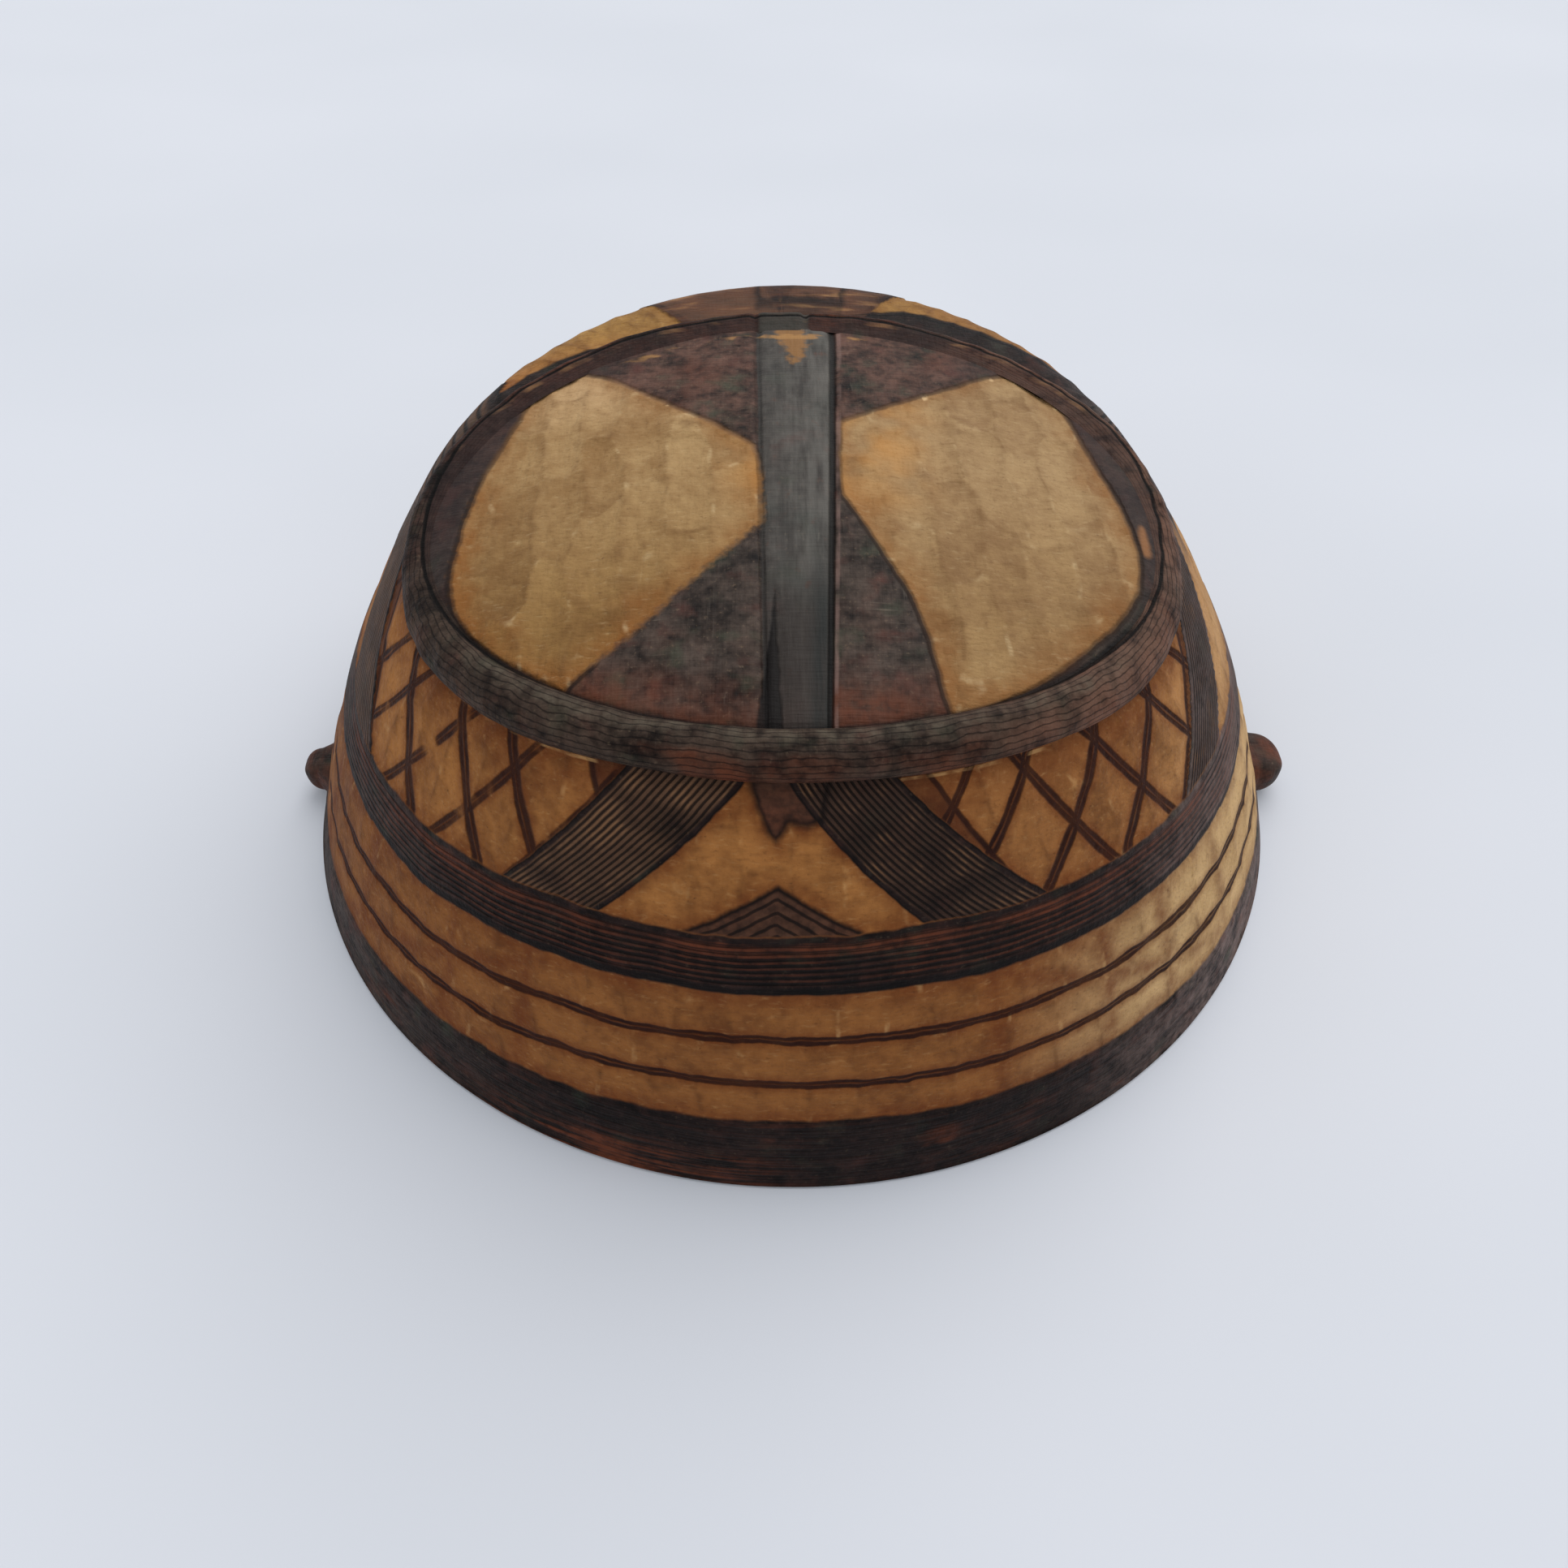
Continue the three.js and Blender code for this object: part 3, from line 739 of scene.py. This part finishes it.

# The panels: scorched towards their edges, with painted light at the left behind, and browner to the front.
b = Finish("base_panel")
tremble = b.grown((4, 4, 4), 3.0, 2.9) * 0.4
right_of = b.along(0)
behind = b.along(1)
panel_in = b.measured("panel") + tremble
edge_in = b.measured("inner_edge")
fuzz = b.grown((1.6, 1.6, 1.6), 3.0, 8.1) * right_of.rise(0, -8) * behind.rise(0, -12)
panel_light = (panel_in + fuzz * 1.1).rise(-1.0, 1.2)
near_edge = panel_in + b.grown((9, 9, 9), 4.0, 4.2) * 4.6 + behind.rise(-20, 30) * 2.5
panel_blush = near_edge.rise(8.5, -1.0) * (0.75 + right_of.rise(-15, -35) * behind.rise(0, -30) * 0.25)
rightwards = right_of.rise(-25, 25)
# Painted light on the back left of the panels.
lit_corner = behind.rise(5, 32) * right_of.rise(0, -25) * 0.7
to_front = behind.rise(5, -52) * (right_of.rise(10, -35) * 0.5 + 0.5)
clear = b.layered(b.mixed(rightwards, painted(184, 150, 104), painted(178, 145, 103)), (
    (lit_corner, painted(212, 174, 130)),
    (to_front, painted(152, 115, 66))))
darker = b.layered(b.mixed(rightwards, painted(148, 112, 70), painted(146, 112, 76)), (
    (lit_corner, painted(170, 132, 92)),
    (to_front, painted(112, 78, 42))))
panel_wood, panel_relief = gouged_wood(
    b, b.measured("base_facets"), b.measured("base_crest"), b.measured("base_tone") * 0.6 + 0.2, panel_blush,
    (clear, darker, painted(112, 78, 44), painted(84, 54, 32), painted(214, 186, 142), painted(140, 88, 40)))

# The hourglass and the strip, with the wedge, the worn and bare patches and the flaked line behind.
strip_place = b.measured("strip")
strip_in = (abs(strip_place) + tremble * 0.06).rise(1.04, 0.98)
strip_line = abs(abs(strip_place) - 1.0).rise(0.13, 0.04) * (strip_place.rise(-0.5, 0.5) * 0.6 + 0.4)
lengthwise = b.grown((1.6, 12, 6), 4.0, 16.3)
cloudy = b.grown((11, 15, 11), 4.0, 6.6)
rusty = cloudy.rise(-0.1, 1.1) * (1 - strip_in) * (0.35 + behind.rise(0, 40) * 0.4)
front_rust = (edge_in + tremble * 6).rise(14.0, 3.0) * behind.rise(-48, -64) * cloudy.rise(-0.9, 0.3)
# Lighter along the strip's right half: partly the strip's own grey, partly painted sheen.
strip_grey_and_sheen = strip_in * (strip_place * 0.7 + lengthwise).rise(-0.4, 0.9)
scuffed = strip_in * b.grown((0.7, 6, 2), 4.0, 22.9).rise(0.35, 0.9)
rust_specks = strip_in * b.grown((2.4, 4, 3), 4.0, 26.1).rise(0.3, 0.9)
teal_edge = strip_in * strip_place.rise(0.2, 0.7) * behind.rise(-10, -50) * lengthwise.rise(-0.9, 0.2)
worn_in = (b.measured("worn_patch") + b.grown((2.2, 2.2, 2.2), 4.0, 5.1) * 2.4).rise(-1.2, 0.9)
flaked = abs(edge_in - 3.0).rise(1.9, 0.8) * behind.rise(34, 40) * right_of.rise(30, 10)
flaked = flaked * b.grown((5, 3, 3), 3.0, 14.2).rise(0.0, 0.4)
wedge_in = (b.measured("wedge") + tremble).rise(-0.3, 0.4)
by_ring = edge_in.rise(9.0, 3.0) * behind.rise(-45, -20) * abs(right_of).rise(25, 50)
bare_in = (b.measured("bare_patch") + tremble * 1.5).rise(-0.8, 0.9)
triangle_tone = b.mixed(behind.rise(-30, 30), painted(88, 74, 66), painted(112, 80, 68))
lit = b.mixed(strip_in, triangle_tone, painted(92, 88, 82))
base_char, base_char_relief = burnt_wood(b, lit, 0.6, rusty | front_rust * 0.85)
base_char = b.layered(base_char, (
    (strip_in * 0.5, painted(86, 80, 76)),
    (strip_grey_and_sheen * 0.5, painted(114, 110, 104)),
    (strip_in * cloudy.rise(0.0, 0.8) * 0.6, painted(62, 72, 66)),
    (strip_in * cloudy.rise(-0.3, -1.0) * 0.4, painted(98, 66, 56)),
    (strip_in * lengthwise.rise(0.1, -0.8) * 0.4, painted(40, 37, 35)),
    (scuffed * 0.5, painted(136, 128, 116)),
    (rust_specks * 0.6, painted(104, 62, 46)),
    (strip_in * behind.rise(-24, -52) * 0.8, painted(50, 43, 40)),
    (teal_edge * 0.7, painted(30, 36, 36)),
    (worn_in * 0.85, painted(150, 106, 60)),
    (flaked * 0.75, painted(176, 130, 78)),
    (wedge_in * 0.9, painted(16, 12, 12)),
    (by_ring * 0.65, painted(44, 33, 33)),
    (bare_in * 0.8, painted(156, 106, 66))))

panel_line = abs(panel_in).rise(0.9, 0.2)
glow = b.grown((12, 12, 12), 2.0, 4.4).rise(-0.5, 0.4) * panel_light * abs(right_of - 7).rise(27, 8)
chipped = abs(panel_in - 0.8).rise(0.9, 0.3) * behind.rise(8, 20)
dark_line = strip_line | edge_in.rise(1.3, 0.5) * behind.rise(-26, -48)
on_line = right_of.rise(-4, 4) | edge_in.rise(9, 6)
crisp = abs(panel_in + 0.3).rise(0.75, 0.2) * behind.rise(12, -8) * on_line
beside = abs(strip_place - 1.16).rise(0.1, 0.03) * b.grown((4, 9, 9), 3.0, 7.3).rise(-0.4, 0.3)
colour = b.layered(b.mixed(panel_light, base_char, panel_wood), (
    (glow * abs(behind - 8).rise(30, 14) * 0.55, painted(206, 142, 70)),
    (chipped * b.grown((3, 3, 3), 3.0, 9.3).rise(0.2, 0.6) * 0.8, painted(226, 190, 142)),
    (dark_line * 0.9, SOOT),
    (crisp * 0.8 | panel_line * on_line * 0.4, painted(26, 14, 11)),
    (beside * 0.5, painted(140, 112, 104))))
relief = panel_relief * panel_light + base_char_relief * (1 - panel_light)
relief = relief - strip_line * 0.4 - panel_line * 0.2 - wedge_in * 0.2
gloss = 0.56 + panel_light * 0.1 + b.grown((5, 5, 5), 2.0, 1.2) * 0.07
base_panel.data.materials.append(b.close(colour, gloss, relief, 0.12))

# The ring is a low round cord left standing round the base when the wood on both sides was cut away.
# In front it is round and rubbed smooth, with a painted sheen along its top, and at the sides and the back a
# low lip that leans outwards. An incised line follows it: its inner foot in front, its top at the sides and
# its outer edge behind.
section = np.linspace(0, np.pi, 30)[None]
off_front = np.interp(ring_y, [-60, -15], [0, 1])
steep_x = ring_x / RING_HALF ** 2
steep_y = (ring_y - RING_Y) / ring_depth(ring_y - RING_Y) ** 2
steep = np.hypot(steep_x, steep_y)
middle = np.stack([ring_x, ring_y, 90 + 0 * ring_x], -1)
width = ring_half_width(ring_x, ring_y) + 0.25 * waver(middle, 34, 31)
cord_x = ring_x - steep_x / steep * width * np.cos(section)
cord_y = ring_y - steep_y / steep * width * np.cos(section)

# Up is square to the dome, from how far its height falls over a small step along x and along y.
step = 0.05
fall_x = height_over(cord_x - step, cord_y) - height_over(cord_x + step, cord_y)
fall_y = height_over(cord_x, cord_y - step) - height_over(cord_x, cord_y + step)
up = np.stack([fall_x, fall_y, np.full_like(fall_x, 2 * step)], -1)
up /= np.linalg.norm(up, axis=-1)[..., None]
lift = (2.4 - 0.6 * np.sin(ring_turn)) * (1 - 0.3 * off_front) + 0.16 * waver(middle, 26, 32)
swell = np.sin(np.pi * (section / np.pi) ** (1 + 0.8 * off_front))
hollow_side = 0.8 + 0.7 * off_front * (section < 1.9)
stand = lift * swell ** hollow_side - 0.5 * (1 - swell) ** 4 * (1 - 0.7 * off_front)
cord = np.stack([cord_x, cord_y, height_over(cord_x, cord_y)], -1) + up * stand[..., None]

over_line = np.degrees(section) - np.interp(ring_y, [-50, RING_Y, 16], [22, 70, 116])
notches = (groove_at(cord_x + 8.5, 0.6, 0.9) + groove_at(cord_x - 3, 0.6, 0.7)) * (cord_y > 0)
tooled = (0.14 * (1 + waver(cord, 7, 33)) + groove_at(over_line, 0.3, 7)) * (stand > 0.3)
cord -= up * (tooled + notches)[..., None]
ring_numbers = {"over": np.degrees(section) + 0 * cord_x, "over_line": over_line}
ring_cord = closed_round("ring_cord", cord, ring_numbers)
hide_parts("base_ring")

r = Finish("ring_cord")
rubbed = r.grown((12, 12, 12), 4.0, 5.9)
pitted = r.grown((2.2, 2.2, 2.2), 3.0, 3.3)
blot = r.grown((4, 4, 4), 4.0, 27.1)
strands = ((r.measured("over") + rubbed * 16 + pitted * 2) / 14).from_nearest_whole().rise(0.16, 0.04)
over = r.measured("over") + rubbed * 9
past_line = r.measured("over_line") + pitted * 2
ring_right = r.along(0)
ring_behind = r.along(1)
ring_front = ring_behind.rise(-40, -60)
worn_red = over.rise(95, 120) * rubbed.rise(-0.2, 0.7) * (0.35 + ring_front * 0.5)
worn_red = worn_red | ring_behind.rise(10, 40) * rubbed.rise(-0.4, 0.9) * 0.7
right_worn = ring_right.rise(20, 50) * rubbed.rise(-0.9, 0.3) * 0.75
# Painted sheen: a lighter grey band along the ring's top, strongest in front.
painted_sheen = over.rise(30, 50) * over.rise(90, 66) * (0.05 + ring_front * 0.75) * blot.rise(0.5, -0.5)
foot_line = past_line.rise(9, 0) * ring_behind.rise(-30, -50) | abs(past_line).rise(9, 4)
inside_line = past_line.rise(-4, -10) * ring_behind.rise(-40, -20)
scraped = r.grown((14, 5, 3), 3.0, 9.9).rise(-0.1, 0.5) * ring_behind.rise(0, 35)
over_strip = abs(ring_right + 2.75).rise(6.2, 5.2) * ring_behind.rise(30, 40)
ring_tone = r.mixed(ring_behind.rise(-45, 0), painted(84, 68, 58), painted(74, 53, 47))
ring_tone = r.mixed(ring_right.rise(30, 62), ring_tone, painted(104, 80, 68))
ring_char, ring_relief = burnt_wood(r, ring_tone, 0.4, worn_red)
ring_char = r.layered(ring_char, (
    (blot.rise(0.0, 0.7) * 0.6, painted(22, 15, 14)),
    (right_worn * blot.rise(0.6, -0.4), painted(122, 88, 72)),
    (painted_sheen * pitted.rise(-1.0, 0.4), painted(100, 90, 77)),
    (strands * 0.65, painted(14, 10, 10)),
    (inside_line * 0.5, painted(48, 35, 34)),
    (scraped * abs(over - 100).rise(16, 5) * 0.5, painted(160, 118, 78)),
    (over_strip * 0.55, painted(70, 72, 66)),
    (foot_line * 0.95, SOOT)))
ring_relief = ring_relief + pitted * 0.16 + blot * 0.2
ring_cord.data.materials.append(r.close(ring_char, 0.58 + pitted * 0.06, ring_relief, 0.07))

# The two lugs at the ends of the rim, carved in one with it: flat tabs with rounded edges,
# the left one more pointed, both burnt, with the brown wood showing where hands have rubbed them.
LUG_ROOT = 106.0
LUG_ROOT_HALF = 14.0
LUG_HALF_HIGH = 5.5
LUG_Z = 6.7
LUG_POWER = 0.62


def lug(name, side, reach, centre_y, tip_radius):
    """A tongue from inside the wall to its tip. Half the width falls along a straight flank and rounds off
    over the tip's radius. The section is a superellipse, flat above and below with rounded edges."""
    share = np.sin(np.linspace(0, np.pi / 2, 40))[None, :-1]
    out = LUG_ROOT + (reach - LUG_ROOT) * share
    tip_from = reach - tip_radius
    flank = LUG_ROOT_HALF + (tip_radius - LUG_ROOT_HALF) * (out - LUG_ROOT) / (tip_from - LUG_ROOT)
    rounded = np.sqrt(np.clip(tip_radius ** 2 - np.clip(out - tip_from, 0, None) ** 2, 0, None))
    half_width = np.where(out > tip_from, rounded, flank)
    half_high = LUG_HALF_HIGH * (1 - ((out - LUG_ROOT) / (reach - LUG_ROOT)) ** 6) ** 0.5
    around = np.linspace(0, 2 * np.pi, 64, endpoint=False)[:, None]
    c, s = np.cos(around), np.sin(around)
    y = half_width * np.sign(c) * np.abs(c) ** LUG_POWER
    z = half_high * np.sign(s) * np.abs(s) ** LUG_POWER
    points = np.stack([side * (out + 0 * y), centre_y + y, LUG_Z + z], -1)
    points += 0.22 * waver(points, 9, 41)[..., None] * np.array([0, 0.6, 1.0])
    if side > 0:
        points = points[::-1]
    made = closed_round(name, points, {}, (side * reach, centre_y, LUG_Z))
    finish = Finish(name)
    hand = finish.grown((7, 7, 5), 4.0, 2.0 + side)
    lug_char, lug_relief = burnt_wood(finish, painted(76, 58, 50), 0.5, hand.rise(-0.5, 0.7) * 0.9)
    made.data.materials.append(finish.close(lug_char, 0.54 + hand * 0.05, lug_relief, 0.14))
    return made


left_lug = lug("left_lug_carving", -1, 123.5, -6.8, 4.5)
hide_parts("left_lug")
right_lug = lug("right_lug_carving", 1, 125.0, -4.5, 7.5)
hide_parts("right_lug")

# The hollow and the inner part of the rim's flat land, cut with the same gouge. The hollow is left bare,
# and the land is burnt.
HOLLOW_HALF = 111.5
HOLLOW_TOP = 86.8
HOLLOW_SCOOPS = 48
IN_RHO, IN_Z, IN_LENGTH = turned_profile(HOLLOW_HALF, HOLLOW_TOP, crown=330.0, shoulder=22.0)
hollow_theta = theta[::2]
up_length = np.linspace(IN_LENGTH[-1], 0, 96)[None, :-1]
land_edge = 0 * hollow_theta
hollow_rho = np.hstack([LAND_SPLIT + land_edge, np.interp(up_length, IN_LENGTH, IN_RHO) + land_edge])
hollow_z = np.hstack([land_edge, np.interp(up_length, IN_LENGTH, IN_Z) + land_edge])
hollow = turned_points(hollow_theta, hollow_rho, hollow_z)
hollow_facets, hollow_crest, hollow_tone = scooped(
    np.degrees(hollow_theta) * MM_PER_DEGREE, hollow_z + 3 * waver(hollow, 60, 51),
    ROUND_THE_WALL / HOLLOW_SCOOPS, 22, ROUND_THE_WALL, (0, 88), 52)
fade = np.clip(hollow_rho / 60, 0, 1) * np.clip(hollow_z / 4, 0, 1)
hollow = hollow - outward(hollow) * (0.4 * hollow_facets * fade)[..., None]
hollow[:, :2, 2] = 0
hollow_inside = closed_round("hollow_inside", hollow, {
    "hollow_facets": hollow_facets, "hollow_crest": hollow_crest, "hollow_tone": hollow_tone,
    "depth": hollow_z}, (0.0, 0.0, HOLLOW_TOP))
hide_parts("bowl_shell")

h = Finish("hollow_inside")
depth_in = h.measured("depth") + h.grown((6, 6, 6), 3.0, 1.1) * 0.6
hollow_wood, hollow_relief = gouged_wood(
    h, h.measured("hollow_facets"), h.measured("hollow_crest"), h.measured("hollow_tone"),
    depth_in.rise(9, 1) * 0.7,
    (painted(160, 122, 80), painted(136, 100, 62), painted(120, 86, 52), painted(98, 68, 42),
     painted(196, 160, 116), painted(128, 74, 38)))
land_brown = h.grown((9, 9, 9), 3.0, 7.1).rise(0, 1) * 0.6
land_char, land_relief = burnt_wood(h, painted(42, 32, 29), 0.3, land_brown)
land = depth_in.rise(1.2, 0.4)
bare = h.mixed(land, hollow_wood, land_char)
bare_relief = hollow_relief * (1 - land) + land_relief * land
hollow_inside.data.materials.append(h.close(bare, 0.66 - land * 0.1, bare_relief, 0.1))
